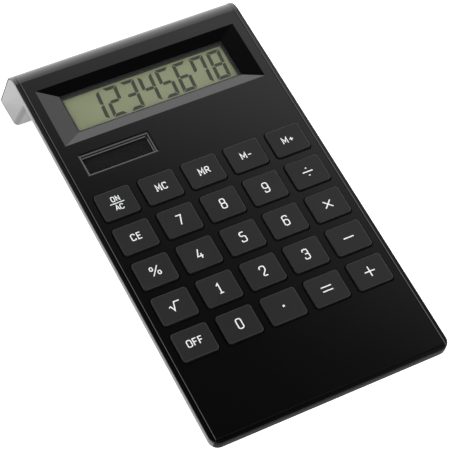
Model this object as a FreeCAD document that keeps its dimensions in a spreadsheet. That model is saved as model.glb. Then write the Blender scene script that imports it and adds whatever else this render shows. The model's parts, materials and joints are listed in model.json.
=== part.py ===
import FreeCAD, Part
import math
import os
import Sketcher

# Pocket calculator: a slim wedge that leans back on a full-width rear leg.
# Everything is drawn in the frame of its face plate (X to the right, Y to the
# rear, Z out of the plate, plate surface at Z = 0, "5" key at X = Y = 0) and
# stood up on its feet at the end. Millimetres.

Vector = FreeCAD.Vector
Placement = FreeCAD.Placement
Rotation = FreeCAD.Rotation

SIZES = {
    # stance
    "tilt_angle": 7.25,
    # outer case
    "case_width": 96.8,
    "front_edge": 71.0,
    "corner_radius": 4.0,
    "roll_start": 96.8,
    "roll_radius": 8.0,
    "roll_turn": 73.0,
    "side_depth": 2.8,
    "base_depth": 6.0,
    "floor_depth": 4.8,
    "floor_round": 1.6,
    "wall_thick": 1.3,
    "fit_gap": 0.1,
    # face plate
    "rim_thick": 0.5,
    "plate_thick": 1.2,
    "rim_gap": 0.3,
    "border_wide": 1.8,
    "line_wide": 0.15,
    "line_deep": 0.32,
    "line_slope": 0.3,
    # rear leg
    "leg_front_top": 88.45,
    "leg_front_slope": 0.385,
    "leg_sole_y": 103.75,
    "leg_sole_depth": 28.45,
    "leg_wall": 1.5,
    "leg_corner": 1.2,
    "leg_side_round": 2.0,
    "leg_face_thick": 5.0,
    "cover_end_depth": 25.5,
    "rib_thick": 1.2,
    # keys
    "key_pitch_x": 18.0,
    "key_pitch_y": 16.0,
    "key_wide": 14.3,
    "key_long": 12.1,
    "key_corner": 1.3,
    "key_rise": 1.1,
    "key_edge": 0.4,
    "key_gap": 0.4,
    "hole_bevel": 0.15,
    "flange_wide": 16.2,
    "flange_long": 14.0,
    "flange_top": 1.3,
    "flange_thick": 0.55,
    "key_skin": 1.0,
    "key_hollow_wide": 11.5,
    "key_hollow_long": 9.3,
    "key_post": 3.4,
    "key_post_end": 1.95,
    # display
    "bezel_wide": 85.4,
    "bezel_front": 63.2,
    "bezel_rear": 91.0,
    "bezel_deep": 1.15,
    "bezel_backing": 2.0,
    "opening_wide": 70.0,
    "opening_front": 67.8,
    "opening_rear": 85.9,
    "pane_wide": 73.0,
    "pane_long": 20.6,
    "pane_thick": 0.75,
    "pane_middle": 76.85,
    "lcd_view_wide": 68.4,
    "lcd_view_front": 68.8,
    "lcd_view_long": 16.0,
    "lcd_face_depth": 2.9,
    "lcd_glass": 0.5,
    "lcd_wide": 72.0,
    "lcd_front": 66.4,
    "lcd_ledge": 1.8,
    "lcd_rear": 87.0,
    # solar cell
    "solar_left": 40.3,
    "solar_right": 11.0,
    "solar_front": 47.4,
    "solar_rear": 57.7,
    "solar_round": 1.15,
    "solar_ledge": 0.35,
    "solar_deep": 1.6,
    "solar_backing": 2.2,
    "solar_pane": 0.5,
    "solar_cell_thick": 0.8,
    # keyboard electronics
    "dome_top": 2.0,
    "mat_sheet_top": 3.05,
    "board_top": 3.4,
    "board_thick": 0.8,
    "board_wide": 90.0,
    "board_front": 47.0,
    "board_rear": 60.5,
    "dome_foot": 7.6,
    "dome_head": 4.2,
    "dome_cap": 0.65,
    "dome_skin": 0.45,
    "pad_wide": 4.6,
    "pad_thick": 0.05,
    # fastenings
    "case_boss": 5.2,
    "board_boss": 4.4,
    "pilot_hole": 1.7,
    "screw_shank": 1.7,
    "case_head": 3.4,
    "board_head": 3.2,
    # battery (11.6 x 3.05 button cell)
    "cell_across": 11.6,
    "cell_thick": 3.05,
    "cell_x": 28.0,
    "cell_y": -56.0,
    "cell_top": 1.5,
    # rubber feet
    "foot_across": 8.0,
    "front_foot_x": 33.0,
    "front_foot_y": -62.0,
    "foot_seat": 0.5,
    "sole_proud": 0.4,
    "sole_strip_long": 26.0,
    "sole_strip_wide": 6.0,
    "sole_strip_x": 30.0,
}

COLUMNS = (-2, -1, 0, 1, 2)
KEY_ROWS = {
    2: ("key_on_ac", "key_mc", "key_mr", "key_m_minus", "key_m_plus"),
    1: ("key_ce", "key_7", "key_8", "key_9", "key_divide"),
    0: ("key_percent", "key_4", "key_5", "key_6", "key_multiply"),
    -1: ("key_sqrt", "key_1", "key_2", "key_3", "key_minus"),
    -2: ("key_off", "key_0", "key_dot", "key_equals", "key_plus"),
}
CASE_SCREWS = (
    (-42.3, -65.0), (42.3, -65.0),
    (-42.3, 44.0), (42.3, 44.0),
    (-41.3, 82.0), (41.3, 82.0),
)
BOARD_SCREWS = ((-18.0, -44.0), (18.0, -44.0), (-9.0, 44.0), (9.0, 44.0))

doc = FreeCAD.newDocument("pocket_calculator")
sheet = doc.addObject("Spreadsheet::Sheet", "Sizes")
for row, (name, number) in enumerate(SIZES.items(), start=1):
    sheet.set(f"A{row}", name)
    sheet.set(f"B{row}", str(number))
    sheet.setAlias(f"B{row}", name)
doc.recompute()

pieces = []


def size(name):
    return SIZES[name]


def shift(x=0.0, y=0.0, z=0.0):
    return Placement(Vector(x, y, z), Rotation())


def keep(piece, label, local=None):
    """Hand a finished sub-part in under its label, with its place in the plate frame."""
    piece.Label = label
    pieces.append((piece, local or shift()))
    return piece


# ---------------------------------------------------------------- sketch tools


def new_body(name):
    return doc.addObject("PartDesign::Body", name + "_body")


def new_sketch(body, name, role, level=None, x=0.0, y=0.0):
    """Sketch on one of the body's own planes, lifted to a level given as an expression."""
    plane = [o for o in body.Origin.OriginFeatures if o.Role == role][0]
    sketch = body.newObject("Sketcher::SketchObject", name)
    sketch.AttachmentSupport = [(plane, "")]
    sketch.MapMode = "FlatFace"
    sketch.AttachmentOffset = shift(x, y, 0.0)
    if level is not None:
        sketch.setExpression("AttachmentOffset.Base.z", level)
    doc.recompute()
    return sketch


def fix(sketch, constraint, expression):
    index = sketch.addConstraint(constraint)
    sketch.setExpression(f"Constraints[{index}]", expression)


def value_of(expression):
    """Number behind a sheet expression such as "Sizes.key_wide / 2"."""
    return float(sheet.evalExpression(expression.replace("Sizes.", "")))


def draw_rectangle(sketch, left, right, low, high, radius=None):
    """Rectangle with equal round corners whose four sides are sheet expressions."""
    x0, x1, y0, y1 = (value_of(e) for e in (left, right, low, high))
    r = value_of(radius) if radius else 0.0
    first = sketch.GeometryCount
    ends = (
        ((x0 + r, y0), (x1 - r, y0)),
        ((x1, y0 + r), (x1, y1 - r)),
        ((x1 - r, y1), (x0 + r, y1)),
        ((x0, y1 - r), (x0, y0 + r)),
    )
    for start, stop in ends:
        sketch.addGeometry(Part.LineSegment(Vector(*start, 0), Vector(*stop, 0)), False)
    if radius:
        centres = ((x1 - r, y0 + r), (x1 - r, y1 - r), (x0 + r, y1 - r), (x0 + r, y0 + r))
        for quarter, centre in enumerate(centres):
            circle = Part.Circle(Vector(*centre, 0), Vector(0, 0, 1), r)
            turn = math.radians(90 * quarter - 90)
            sketch.addGeometry(Part.ArcOfCircle(circle, turn, turn + math.pi / 2), False)
        for side in range(4):
            arc = first + 4 + side
            after = first + (side + 1) % 4
            sketch.addConstraint(Sketcher.Constraint("Tangent", first + side, 2, arc, 1))
            sketch.addConstraint(Sketcher.Constraint("Tangent", arc, 2, after, 1))
        for side in range(3):
            sketch.addConstraint(Sketcher.Constraint("Equal", first + 4 + side, first + 5 + side))
        fix(sketch, Sketcher.Constraint("Radius", first + 4, r), radius)
    else:
        for side in range(4):
            after = first + (side + 1) % 4
            sketch.addConstraint(Sketcher.Constraint("Coincident", first + side, 2, after, 1))
    for side, kind in enumerate(("Horizontal", "Vertical", "Horizontal", "Vertical")):
        sketch.addConstraint(Sketcher.Constraint(kind, first + side))
    fix(sketch, Sketcher.Constraint("DistanceY", first, 1, y0), low)
    fix(sketch, Sketcher.Constraint("DistanceX", first + 1, 1, x1), right)
    fix(sketch, Sketcher.Constraint("DistanceY", first + 2, 1, y1), high)
    fix(sketch, Sketcher.Constraint("DistanceX", first + 3, 1, x0), left)


def draw_circle(sketch, x, y, diameter):
    """Circle at a number pair whose diameter is a sheet expression."""
    across = value_of(diameter)
    index = sketch.addGeometry(Part.Circle(Vector(x, y, 0), Vector(0, 0, 1), across / 2), False)
    sketch.addConstraint(Sketcher.Constraint("DistanceX", index, 3, x))
    sketch.addConstraint(Sketcher.Constraint("DistanceY", index, 3, y))
    fix(sketch, Sketcher.Constraint("Diameter", index, across), diameter)


def draw_outline(sketch, steps):
    """Closed outline of points; ("arc", centre, point) reaches its point clockwise round a
    centre, and ("hollow", centre, point) the other way."""
    points = [s[2] if s[0] in ("arc", "hollow") else s for s in steps]
    first = sketch.GeometryCount
    starts = []
    for index, (x, y) in enumerate(points):
        following = steps[(index + 1) % len(steps)]
        stop = points[(index + 1) % len(points)]
        if following[0] in ("arc", "hollow"):
            cx, cy = following[1]
            circle = Part.Circle(Vector(cx, cy, 0), Vector(0, 0, 1), math.dist((cx, cy), (x, y)))
            at_start = math.atan2(y - cy, x - cx)
            at_stop = math.atan2(stop[1] - cy, stop[0] - cx)
            clockwise = following[0] == "arc"
            turn = (at_stop, at_start) if clockwise else (at_start, at_stop)
            sketch.addGeometry(Part.ArcOfCircle(circle, *turn), False)
            starts.append((2, 1) if clockwise else (1, 2))
        else:
            sketch.addGeometry(Part.LineSegment(Vector(x, y, 0), Vector(*stop, 0)), False)
            starts.append((1, 2))
    for index in range(len(points)):
        after = (index + 1) % len(points)
        ends = (first + index, starts[index][1], first + after, starts[after][0])
        sketch.addConstraint(Sketcher.Constraint("Coincident", *ends))
    for index in range(len(points)):
        sketch.addConstraint(Sketcher.Constraint("Block", first + index))


def pad(body, name, sketch, length, both_ways=False, reverse=False):
    feature = body.newObject("PartDesign::Pad", name)
    feature.Profile = sketch
    feature.setExpression("Length", length)
    if both_ways:
        feature.SideType = "Symmetric"
    feature.Reversed = reverse
    sketch.Visibility = False
    doc.recompute()
    return feature


def pocket(body, name, sketch, length, both_ways=False, reverse=False):
    before = body.Shape.Volume
    feature = body.newObject("PartDesign::Pocket", name)
    feature.Profile = sketch
    feature.setExpression("Length", length)
    if both_ways:
        feature.SideType = "Symmetric"
    feature.Reversed = reverse
    sketch.Visibility = False
    doc.recompute()
    assert body.Shape.Volume < before - 1e-4, name + " removed nothing"
    return feature


def pad_box(body, name, left, right, low, high, bottom, length, radius=None):
    sketch = new_sketch(body, name + "_plan", "XY_Plane", bottom)
    draw_rectangle(sketch, left, right, low, high, radius)
    return pad(body, name, sketch, length)


def cut_box(body, name, left, right, low, high, bottom, length, radius=None):
    """Pocket that rises from its bottom level."""
    sketch = new_sketch(body, name + "_plan", "XY_Plane", bottom)
    draw_rectangle(sketch, left, right, low, high, radius)
    return pocket(body, name, sketch, length, reverse=True)


def edges_where(feature, test):
    names = []
    for index, edge in enumerate(feature.Shape.Edges, start=1):
        if test(edge):
            names.append(f"Edge{index}")
    return names


def fillet(body, name, feature, names, radius):
    rounding = body.newObject("PartDesign::Fillet", name)
    rounding.Base = (feature, names)
    rounding.setExpression("Radius", radius)
    doc.recompute()
    assert rounding.isValid(), name + " failed"
    return rounding


def origin_axis(body, role):
    return [o for o in body.Origin.OriginFeatures if o.Role == role][0]


def repeat_on_keys(body, name, originals):
    """Five by five copies at the key pitch, starting from the front left key."""
    rows = body.newObject("PartDesign::MultiTransform", name)
    rows.Originals = originals
    along = []
    for role, pitch in (("X_Axis", "Sizes.key_pitch_x"), ("Y_Axis", "Sizes.key_pitch_y")):
        line = body.newObject("PartDesign::LinearPattern", name + role[0].lower())
        line.Direction = (origin_axis(body, role), [""])
        line.setExpression("Length", pitch + " * 4")
        line.Occurrences = 5
        along.append(line)
    rows.Transformations = along
    body.Tip = rows
    doc.recompute()
    return rows


# ---------------------------------------------------------- the case's profile

ROLL = (size("roll_start"), -size("roll_radius"))
TURN = math.radians(size("roll_turn"))
REAR_DOWN = (math.cos(TURN), -math.sin(TURN))
REAR_OUT = (math.sin(TURN), math.cos(TURN))


def roll_end(inset):
    reach = size("roll_radius") - inset
    return (ROLL[0] + reach * REAR_OUT[0], ROLL[1] + reach * REAR_OUT[1])


def rear_point(inset, depth):
    """Point on the leaning rear face, a given depth below the plate surface."""
    y, z = roll_end(inset)
    run = (z + depth) / -REAR_DOWN[1]
    return (y + run * REAR_DOWN[0], z + run * REAR_DOWN[1])


LEG_TURN = math.atan(size("leg_front_slope"))


def leg_front(depth, inset=0.0):
    """Point on the sloping front face of the leg, or a given thickness behind that face."""
    y = size("leg_front_top") + size("leg_front_slope") * (depth - size("base_depth"))
    return (y + inset / math.cos(LEG_TURN), -depth)


def sole(y, lift=0.0):
    """Point on the underside of the leg, which stays level when the case leans back."""
    slope = math.tan(math.radians(size("tilt_angle")))
    return (y, -size("leg_sole_depth") - slope * (y - size("leg_sole_y")) + lift)


def corner_of(line_point, line_way, y_guess, lift=0.0):
    """Where a line from the profile meets the sole."""
    y0, z0 = line_point
    base = sole(y_guess, lift)
    slope = math.tan(math.radians(size("tilt_angle")))
    run = (base[1] - slope * (y0 - base[0]) - z0) / (line_way[1] + slope * line_way[0])
    return (y0 + run * line_way[0], z0 + run * line_way[1])


def draw_band(sketch, front, outer, inner, end_depth):
    """Closed strip of the case profile between two insets, from the front to the rear face."""
    end_outer = rear_point(outer, end_depth)
    drop = inner - outer
    end_inner = (end_outer[0] - drop * REAR_OUT[0], end_outer[1] - drop * REAR_OUT[1])
    draw_outline(
        sketch,
        [
            (front, -outer),
            (ROLL[0], -outer),
            ("arc", ROLL, roll_end(outer)),
            end_outer,
            end_inner,
            roll_end(inner),
            ("hollow", ROLL, (ROLL[0], -inner)),
            (front, -inner),
        ],
    )


def depth_in_band(point):
    """How far a point lies below the top face, round the roll and down the rear face."""
    y = point.y - ROLL[0]
    z = point.z - ROLL[1]
    if y <= 0:
        return -point.z
    if math.atan2(y, z) < TURN:
        return size("roll_radius") - math.hypot(y, z)
    return size("roll_radius") - (y * REAR_OUT[0] + z * REAR_OUT[1])


# ------------------------------------------------------------------- top cover


def make_top_cover():
    body = new_body("top_cover")

    # outer skin: full width, wraps over the roll and down the rear
    skin = new_sketch(body, "skin_profile", "YZ_Plane")
    draw_band(skin, -size("front_edge"), 0.0, size("rim_thick"), size("cover_end_depth"))
    outer = pad(body, "skin", skin, "Sizes.case_width", both_ways=True)
    front = -size("front_edge")
    upright = edges_where(outer, lambda e: is_upright(e) and e.BoundBox.YMax < front + 0.01)
    outer = fillet(body, "front_corners", outer, upright, "Sizes.corner_radius")
    rim = edges_where(outer, on_outer_rim)
    outer = fillet(body, "rim_round", outer, rim, "Sizes.rim_thick * 0.5")

    # inner layer: drops inside the walls of the bottom cover
    lining = new_sketch(body, "lining_profile", "YZ_Plane")
    inset = size("wall_thick") + size("fit_gap")
    draw_band(
        lining, front + inset, size("rim_thick") - 0.1, size("plate_thick"),
        size("cover_end_depth") - 2.4,
    )
    layer = pad(
        body, "lining", lining, "Sizes.case_width - 2 * (Sizes.wall_thick + Sizes.fit_gap)",
        both_ways=True,
    )
    upright = edges_where(layer, lambda e: is_upright(e) and e.BoundBox.YMax < front + inset + 0.01)
    fillet(body, "lining_corners", layer, upright, "Sizes.corner_radius - Sizes.wall_thick")

    # thicker frame behind the display bezel
    pad_box(
        body, "bezel_frame", "-Sizes.bezel_wide / 2 - 1", "Sizes.bezel_wide / 2 + 1",
        "Sizes.bezel_front - 1", "Sizes.bezel_rear + 1", "-Sizes.bezel_backing",
        "Sizes.bezel_backing - Sizes.rim_thick",
    )

    # screw bosses, for the case and for the circuit board
    case_bosses = new_sketch(body, "case_boss_plan", "XY_Plane", "-Sizes.board_top - 0.45")
    for x, y in CASE_SCREWS:
        draw_circle(case_bosses, x, y, "Sizes.case_boss")
    pad(body, "case_bosses", case_bosses, "Sizes.board_top + 0.45 - Sizes.rim_thick")
    board_bosses = new_sketch(body, "board_boss_plan", "XY_Plane", "-Sizes.board_top + 0.02")
    for x, y in BOARD_SCREWS:
        draw_circle(board_bosses, x, y, "Sizes.board_boss")
    pad(body, "board_bosses", board_bosses, "Sizes.board_top - 0.02 - Sizes.rim_thick")
    pilots = new_sketch(body, "pilot_plan", "XY_Plane", "-Sizes.board_top - 0.45")
    for x, y in CASE_SCREWS + BOARD_SCREWS:
        draw_circle(pilots, x, y, "Sizes.pilot_hole + 0.04")
    pocket(body, "pilot_holes", pilots, "Sizes.board_top + 0.45 - 0.7", reverse=True)

    # sloping display bezel, the see-through opening and the seat of its pane
    loft_cut(
        body, "bezel_slopes",
        ("-Sizes.bezel_wide / 2", "Sizes.bezel_wide / 2", "Sizes.bezel_front", "Sizes.bezel_rear"),
        ("-Sizes.opening_wide / 2", "Sizes.opening_wide / 2", "Sizes.opening_front", "Sizes.opening_rear"),
        "Sizes.bezel_deep",
    )
    cut_box(
        body, "display_opening", "-Sizes.opening_wide / 2", "Sizes.opening_wide / 2",
        "Sizes.opening_front", "Sizes.opening_rear", "-Sizes.bezel_backing", "Sizes.bezel_backing - 0.2",
    )
    cut_box(
        body, "pane_seat", "-Sizes.pane_wide / 2 - 0.15", "Sizes.pane_wide / 2 + 0.15",
        "Sizes.pane_middle - Sizes.pane_long / 2 - 0.15", "Sizes.pane_middle + Sizes.pane_long / 2 + 0.15",
        "-Sizes.bezel_backing", "Sizes.pane_thick + 0.05",
    )

    # solar window: rounded rim, upright walls and a narrow sloping ledge above the pane
    pad_box(
        body, "solar_frame", "-Sizes.solar_left - 1", "-Sizes.solar_right + 1",
        "Sizes.solar_front - 1", "Sizes.solar_rear + 1", "-Sizes.solar_backing",
        "Sizes.solar_backing - Sizes.rim_thick",
    )
    wall = cut_box(
        body, "solar_opening", *solar_sides("Sizes.solar_round"),
        "-Sizes.solar_deep + Sizes.solar_ledge", "Sizes.solar_deep",
    )
    rim = edges_where(wall, on_solar_rim)
    fillet(body, "solar_rim", wall, rim, "Sizes.solar_round")
    loft_cut(
        body, "solar_slopes", solar_sides("Sizes.solar_round"),
        solar_sides("(Sizes.solar_round + Sizes.solar_ledge)"),
        "Sizes.solar_deep", "Sizes.solar_deep - Sizes.solar_ledge",
    )
    cut_box(
        body, "solar_seat", *solar_sides("0.4"), "-Sizes.solar_backing",
        "Sizes.solar_backing - Sizes.solar_deep",
    )

    # fine groove with sloping sides that frames the face plate
    edge = "(Sizes.case_width / 2 - Sizes.border_wide)"
    half_line = "Sizes.line_wide / 2"
    for side, start in (("left", f"-{edge} - {half_line}"), ("right", f"{edge} - {half_line}")):
        line = new_sketch(body, side + "_line_profile", "YZ_Plane", start)
        draw_band(
            line, front + size("border_wide"), -0.05, size("line_deep"),
            size("cover_end_depth") + 1.0,
        )
        pocket(body, side + "_line", line, "Sizes.line_wide", reverse=True)
    level = "-Sizes.front_edge + Sizes.border_wide"
    groove = cut_box(
        body, "front_line", f"-{edge} - {half_line}", f"{edge} + {half_line}",
        f"{level} - {half_line}", f"{level} + {half_line}",
        "-Sizes.line_deep", "Sizes.line_deep + 0.05",
    )
    slopes = body.newObject("PartDesign::Chamfer", "line_slopes")
    slopes.Base = (groove, edges_where(groove, on_groove_rim))
    slopes.setExpression("Size", "Sizes.line_slope")
    doc.recompute()

    # twenty-five key holes with a fine bevel
    hole = new_sketch(body, "key_hole_plan", "XY_Plane", "-Sizes.plate_thick")
    draw_rectangle(hole, *key_sides("Sizes.key_gap"), "Sizes.key_corner + Sizes.key_gap")
    key_hole = pocket(body, "key_hole", hole, "Sizes.plate_thick + 0.1", reverse=True)
    lip = new_sketch(body, "key_hole_lip_plan", "XY_Plane")
    draw_rectangle(
        lip, *key_sides("(Sizes.key_gap + Sizes.hole_bevel)"),
        "Sizes.key_corner + Sizes.key_gap + Sizes.hole_bevel",
    )
    key_lip = pocket(body, "key_hole_lip", lip, "Sizes.hole_bevel")
    key_lip.TaperAngle = -45
    doc.recompute()
    repeat_on_keys(body, "key_holes", [key_hole, key_lip])
    keep(body, "top_cover")


def key_sides(extra):
    """Left, right, front and rear of the front left key, widened by an amount."""
    return (
        f"-2 * Sizes.key_pitch_x - Sizes.key_wide / 2 - {extra}",
        f"-2 * Sizes.key_pitch_x + Sizes.key_wide / 2 + {extra}",
        f"-2 * Sizes.key_pitch_y - Sizes.key_long / 2 - {extra}",
        f"-2 * Sizes.key_pitch_y + Sizes.key_long / 2 + {extra}",
    )


def solar_sides(inset):
    """Left, right, front and rear of the solar window, drawn in by an amount."""
    return (
        f"-Sizes.solar_left + {inset}",
        f"-Sizes.solar_right - {inset}",
        f"Sizes.solar_front + {inset}",
        f"Sizes.solar_rear - {inset}",
    )


def on_solar_rim(edge):
    """The four top edges of the solar window's upright walls."""
    box = edge.BoundBox
    level = abs(box.ZMin) < 1e-3 and abs(box.ZMax) < 1e-3
    across = box.XMin > -size("solar_left") and box.XMax < -size("solar_right")
    return level and across and box.YMin > size("solar_front") and box.YMax < size("solar_rear")


def on_groove_rim(edge):
    """Upper edges of the groove that runs round the face plate."""
    points = [edge.valueAt(edge.FirstParameter), edge.valueAt(edge.LastParameter)]
    reach = size("line_wide") / 2 + 0.01
    side = size("case_width") / 2 - size("border_wide")
    front = -size("front_edge") + size("border_wide")
    if any(abs(depth_in_band(point)) > 0.01 for point in points):
        return False
    beside = all(abs(abs(point.x) - side) < reach for point in points)
    before = all(abs(point.y - front) < reach for point in points)
    return (beside and edge.BoundBox.XLength < 1e-3) or (before and edge.BoundBox.YLength < 1e-3)


def is_upright(edge):
    box = edge.BoundBox
    return box.XLength < 1e-3 and box.YLength < 1e-3


def on_outer_rim(edge):
    """Edges of the skin's upper side: along both sides, round the corners and across the front."""
    box = edge.BoundBox
    if abs(box.ZMax) > 1e-3 or abs(box.ZMin) > 1e-3:
        return False
    along_side = box.XLength < 1e-3 and abs(abs(box.XMin) - size("case_width") / 2) < 1e-3
    return along_side or box.YMax < -size("front_edge") + size("corner_radius") + 0.01


def loft_cut(body, name, top, bottom, depth, start="0"):
    """Four-sided funnel from a start depth down to a smaller rectangle."""
    upper = new_sketch(body, name + "_top", "XY_Plane", f"-({start})")
    draw_rectangle(upper, *top)
    lower = new_sketch(body, name + "_bottom", "XY_Plane", "-" + depth)
    draw_rectangle(lower, *bottom)
    before = body.Shape.Volume
    funnel = body.newObject("PartDesign::SubtractiveLoft", name)
    funnel.Profile = upper
    funnel.Sections = [lower]
    funnel.Ruled = True
    upper.Visibility = False
    lower.Visibility = False
    doc.recompute()
    assert body.Shape.Volume < before - 1e-4, name + " removed nothing"
    return funnel


# ---------------------------------------------------------------- bottom cover


def make_bottom_cover():
    body = new_body("bottom_cover")
    half = "Sizes.case_width / 2"
    rise = "Sizes.base_depth - Sizes.rim_thick - Sizes.rim_gap"
    slab = pad_box(
        body, "tray", "-" + half, half, "-Sizes.front_edge", "Sizes.leg_front_top + 2",
        "-Sizes.base_depth", rise,
    )
    upright = edges_where(slab, lambda e: is_upright(e) and e.BoundBox.YMax < 0)
    slab = fillet(body, "tray_corners", slab, upright, "Sizes.corner_radius")
    low_edges = edges_where(slab, is_low_edge)
    fillet(body, "tray_round", slab, low_edges, "Sizes.base_depth - Sizes.side_depth")

    # rear leg, full width
    leg = new_sketch(body, "leg_profile", "YZ_Plane")
    draw_leg(leg)
    pad(body, "leg", leg, "Sizes.case_width", both_ways=True)
    leg = pad_leg_face(body)
    fillet(body, "sole_round", leg, edges_where(leg, on_sole_rim), "Sizes.leg_corner")

    # hollow tray and hollow leg
    inner = "Sizes.wall_thick"
    tray = cut_box(
        body, "tray_hollow", f"-{half} + {inner}", f"{half} - {inner}",
        f"-Sizes.front_edge + {inner}", "Sizes.leg_front_top + 1", "-Sizes.floor_depth",
        "Sizes.floor_depth + 1", "Sizes.corner_radius - Sizes.wall_thick",
    )
    fillet(body, "floor_round", tray, edges_where(tray, on_floor_rim), "Sizes.floor_round")
    hollow = new_sketch(body, "leg_hollow_profile", "YZ_Plane")
    draw_leg_hollow(hollow)
    pocket(body, "leg_hollow", hollow, f"Sizes.case_width - 2 * {inner}", both_ways=True)

    # stiffening ribs across the leg
    for index, x in enumerate((-30.0, -10.0, 10.0, 30.0)):
        rib = new_sketch(body, f"rib_{index + 1}_profile", "YZ_Plane", f"{x} - Sizes.rib_thick / 2")
        draw_rib(rib)
        pad(body, f"rib_{index + 1}", rib, "Sizes.rib_thick")

    # screw posts with sunk seats for the heads
    posts = new_sketch(body, "post_plan", "XY_Plane", "-Sizes.floor_depth - 0.5")
    for x, y in CASE_SCREWS:
        draw_circle(posts, x, y, "Sizes.case_boss + 0.6")
    pad(body, "posts", posts, "Sizes.floor_depth + 0.5 - Sizes.board_top - 0.5")
    sinks = new_sketch(body, "sink_plan", "XY_Plane", "-Sizes.base_depth")
    holes = new_sketch(body, "screw_hole_plan", "XY_Plane", "-Sizes.base_depth")
    for x, y in CASE_SCREWS:
        draw_circle(sinks, x, y, "Sizes.case_head + 0.5")
        draw_circle(holes, x, y, "Sizes.screw_shank + 0.5")
    pocket(body, "screw_sinks", sinks, "1.5", reverse=True)
    pocket(body, "screw_holes", holes, "3.0", reverse=True)

    # round nest for the button cell, open towards the board
    nest = new_sketch(body, "nest_plan", "XY_Plane", "-Sizes.floor_depth - 0.3")
    draw_circle(nest, size("cell_x"), size("cell_y"), "Sizes.cell_across + 2.4")
    draw_circle(nest, size("cell_x"), size("cell_y"), "Sizes.cell_across + 0.5")
    pad(body, "nest", nest, "Sizes.floor_depth + 0.3 - 1.7")
    cut_box(
        body, "nest_gap", "Sizes.cell_x - 3.2", "Sizes.cell_x + 3.2",
        "Sizes.cell_y + 4.5", "Sizes.cell_y + 9", "-Sizes.floor_depth", "Sizes.floor_depth",
    )

    # seats for the rubber feet
    seats = new_sketch(body, "foot_seat_plan", "XY_Plane", "-Sizes.base_depth")
    for x in (-size("front_foot_x"), size("front_foot_x")):
        draw_circle(seats, x, size("front_foot_y"), "Sizes.foot_across + 0.2")
    pocket(body, "foot_seats", seats, "Sizes.foot_seat", reverse=True)
    keep(body, "bottom_cover")


def pad_leg_face(body):
    """Front of the leg with round corners, drawn across its slope and run down past the sole."""
    sketch = new_sketch(body, "leg_face_plan", "XY_Plane")
    y, z = leg_front(size("side_depth") - 0.1)
    lean = Rotation(Vector(1, 0, 0), math.degrees(LEG_TURN))
    sketch.AttachmentOffset = Placement(Vector(0, y, z), lean)
    doc.recompute()
    half = size("case_width") / 2
    r = size("leg_side_round")
    back = size("leg_face_thick")
    draw_outline(
        sketch,
        [
            (-half, back),
            (half, back),
            (half, r),
            ("arc", (half - r, r), (half - r, 0.0)),
            (r - half, 0.0),
            ("arc", (r - half, r), (-half, r)),
        ],
    )
    pad(body, "leg_face", sketch, "Sizes.leg_sole_depth + 2", reverse=True)

    below = new_sketch(body, "below_sole_profile", "YZ_Plane")
    deep = -size("leg_sole_depth") - 20.0
    draw_outline(below, [sole(80.0), sole(125.0), (125.0, deep), (80.0, deep)])
    return pocket(body, "below_sole", below, "Sizes.case_width + 2", both_ways=True)


def on_sole_rim(edge):
    """Edges round the flat underside of the leg."""
    points = [edge.valueAt(edge.FirstParameter), edge.valueAt(edge.LastParameter)]
    low = all(abs(point.z - sole(point.y)[1]) < 0.01 for point in points)
    return low and min(point.y for point in points) > size("leg_front_top")


def on_floor_rim(edge):
    """Edges of the tray's flat floor, but for the one beside the leg."""
    box = edge.BoundBox
    level = abs(box.ZMin + size("floor_depth")) < 1e-3 and box.ZLength < 1e-3
    return level and box.YMin < 0 and box.XMax < size("case_width") / 2


def is_low_edge(edge):
    box = edge.BoundBox
    low = abs(box.ZMax + size("base_depth")) < 1e-3
    rear = box.YMin > size("leg_front_top")
    return low and not rear


def draw_leg(sketch):
    """Leg profile under the wrapped cover; below the cover it steps out flush with the rear face."""
    inset = size("rim_thick") + size("rim_gap")
    face = size("leg_face_thick") - 1.0
    front_way = (size("leg_front_slope"), -1.0)
    heel = corner_of(rear_point(0.0, 20.0), REAR_DOWN, 111.0)
    step = rear_point(0.0, size("cover_end_depth") + size("rim_gap"))
    start = (size("leg_front_top") - 6.0, -inset)
    draw_outline(
        sketch,
        [
            start,
            (ROLL[0], -inset),
            ("arc", ROLL, roll_end(inset)),
            (step[0] - inset * REAR_OUT[0], step[1] - inset * REAR_OUT[1]),
            step,
            heel,
            corner_of(leg_front(20.0, face), front_way, 98.0),
            leg_front(size("side_depth"), face),
            (start[0], -size("side_depth")),
        ],
    )


def draw_leg_hollow(sketch):
    """Space inside the leg, closed at the bottom and open towards the cover."""
    wall = size("leg_wall")
    toe = corner_of(leg_front(20.0, wall), (size("leg_front_slope"), -1.0), 99.0, wall)
    lip = size("plate_thick") + size("fit_gap")
    heel = corner_of(rear_point(lip + 0.9, 20.0), REAR_DOWN, 108.0, wall)
    shelf = rear_point(lip + 0.9, size("cover_end_depth") - 1.2)
    shelf_out = (shelf[0] + 4.0 * REAR_OUT[0], shelf[1] + 4.0 * REAR_OUT[1])
    points = [
        (size("leg_front_top") - 3.0, 1.0),
        (size("roll_start") + 14.0, 1.0),
        shelf_out,
        shelf,
        heel,
        toe,
        leg_front(size("floor_depth") + 3.0, wall),
        leg_front(size("floor_depth"), wall),
        (size("leg_front_top") - 3.0, -size("floor_depth")),
    ]
    draw_outline(sketch, points)


def draw_rib(sketch):
    """Rib that fills the lower part of the leg hollow."""
    wall = size("leg_wall")
    lift = wall - 0.3
    toe = corner_of(leg_front(20.0, wall), (size("leg_front_slope"), -1.0), 99.0, lift)
    heel = corner_of(rear_point(2.0, 20.0), REAR_DOWN, 108.0, lift)
    top_rear = rear_point(2.0, 12.0)
    top_front = leg_front(12.0, wall)
    points = [top_rear, heel, (toe[0] - 0.3, toe[1]), (top_front[0] - 0.3, top_front[1])]
    draw_outline(sketch, points)


# ------------------------------------------------------------------------ keys


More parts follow.
